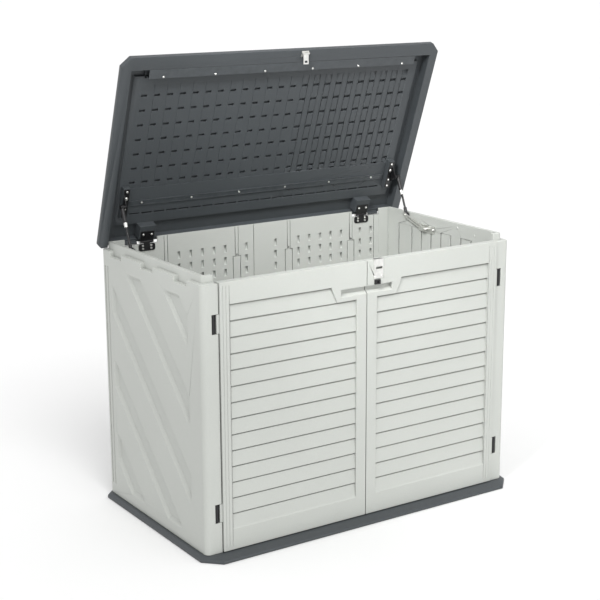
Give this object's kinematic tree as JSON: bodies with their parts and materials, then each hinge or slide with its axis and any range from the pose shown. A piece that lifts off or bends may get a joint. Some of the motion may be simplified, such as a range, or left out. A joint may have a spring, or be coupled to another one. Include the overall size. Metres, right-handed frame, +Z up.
{
  "type": "deck storage box",
  "caption": "Low garden storage box of grey resin panels with louvred front doors on pins and a slate top lid held open on stays.",
  "frame": {"origin": "on the ground under the middle of the walled box, on the underside of the base panel", "axes": "+X to the right seen from the front, front doors face -Y, +Z up"},
  "size_m": [1.346, 0.7941, 1.6442],
  "materials": {
    "grey_resin": "moulded light grey resin with a fine satin grain",
    "slate_resin": "moulded slate grey resin with a fine satin grain",
    "painted_bar": "slate powder coat",
    "black_steel": "black powder coat",
    "black_plastic": "satin black",
    "zinc": "bright zinc plate"
  },
  "bodies": {
    "box": {"base_panel": "slate_resin", "left_side_panel": "grey_resin", "right_side_panel": "grey_resin", "rear_panel_left": "grey_resin", "rear_panel_right": "grey_resin", "left_door_pins": "black_steel", "right_door_pins": "black_steel", "left_hinge_wall_leaf": "black_steel", "right_hinge_wall_leaf": "black_steel", "hinge_wall_screws": "zinc", "left_hinge_pin": "zinc", "right_hinge_pin": "zinc", "left_wall_bracket": "zinc", "right_wall_bracket": "zinc", "left_bracket_bolts": "zinc", "right_bracket_bolts": "zinc"},
    "lid": {"lid_panel": "slate_resin", "lid_front_bar": "painted_bar", "lid_rear_bar": "painted_bar", "front_bar_screws": "zinc", "rear_bar_screws": "zinc", "left_hinge_lid_leaf": "black_steel", "right_hinge_lid_leaf": "black_steel", "hinge_lid_screws": "zinc", "hasp_bracket": "zinc", "hasp_pin": "zinc", "left_stay_bracket": "black_steel", "right_stay_bracket": "black_steel", "left_stay_screws": "zinc", "right_stay_screws": "zinc"},
    "left_door": {"left_door": "grey_resin", "left_door_hinges": "black_plastic"},
    "right_door": {"right_door": "grey_resin", "right_door_hinges": "black_plastic", "door_lock_plate": "zinc", "door_lock_screws": "zinc", "door_lock_keeper": "black_plastic"},
    "hasp": {"hasp_strap": "zinc"},
    "left_arm": {"left_stay_arm": "zinc", "left_elbow_pin": "zinc"},
    "left_rod": {"left_strut_rod": "black_steel", "left_strut_end": "black_plastic"},
    "left_tube": {"left_strut_tube": "black_plastic", "left_strut_collar": "zinc"},
    "right_arm": {"right_stay_arm": "zinc", "right_elbow_pin": "zinc"},
    "right_rod": {"right_strut_rod": "black_steel", "right_strut_end": "black_plastic"},
    "right_tube": {"right_strut_tube": "black_plastic", "right_strut_collar": "zinc"}
  },
  "joints": [
    {"name": "lid_hinge", "type": "hinge", "parent": "box", "child": "lid", "pos_m": [0, 0.338, 0.957], "axis": [1, 0, 0], "range_deg": [0, 70]},
    {"name": "left_door_hinge", "type": "hinge", "parent": "box", "child": "left_door", "pos_m": [-0.606, -0.352, 0.48], "axis": [0, 0, -1], "range_deg": [0, 100]},
    {"name": "right_door_hinge", "type": "hinge", "parent": "box", "child": "right_door", "pos_m": [0.606, -0.352, 0.48], "axis": [0, 0, 1], "range_deg": [0, 100]},
    {"name": "hasp_pivot", "type": "hinge", "parent": "lid", "child": "hasp", "pos_m": [0.054, 0.08931, 1.62418], "axis": [1, 0, 0], "range_deg": [-70, 0]},
    {"name": "left_arm_pivot", "type": "hinge", "parent": "box", "child": "left_arm", "pos_m": [-0.611, 0.085, 0.922], "axis": [1, 0, 0], "range_deg": [-62.02, 0]},
    {"name": "left_elbow", "type": "hinge", "parent": "left_arm", "child": "left_rod", "pos_m": [-0.611, 0.205, 0.962], "axis": [1, 0, 0], "range_deg": [0, 86.99]},
    {"name": "left_strut_slide", "type": "slide", "parent": "left_rod", "child": "left_tube", "axis": [0, 0.3824, 0.924], "range_m": [-0.05194, 0]},
    {"name": "right_arm_pivot", "type": "hinge", "parent": "box", "child": "right_arm", "pos_m": [0.611, 0.085, 0.922], "axis": [1, 0, 0], "range_deg": [-62.02, 0]},
    {"name": "right_elbow", "type": "hinge", "parent": "right_arm", "child": "right_rod", "pos_m": [0.611, 0.205, 0.962], "axis": [1, 0, 0], "range_deg": [0, 86.99]},
    {"name": "right_strut_slide", "type": "slide", "parent": "right_rod", "child": "right_tube", "axis": [0, 0.3824, 0.924], "range_m": [-0.05194, 0]}
  ],
  "couplings": [
    {"joint": "hasp_pivot", "follows": "lid_hinge", "ratio": -1},
    {"joint": "left_arm_pivot", "follows": "lid_hinge", "ratio": -0.8859},
    {"joint": "left_elbow", "follows": "lid_hinge", "ratio": 1.2426},
    {"joint": "left_strut_slide", "follows": "lid_hinge", "m_per_rad": -0.0425},
    {"joint": "right_arm_pivot", "follows": "lid_hinge", "ratio": -0.8859},
    {"joint": "right_elbow", "follows": "lid_hinge", "ratio": 1.2426},
    {"joint": "right_strut_slide", "follows": "lid_hinge", "m_per_rad": -0.0425}
  ]
}
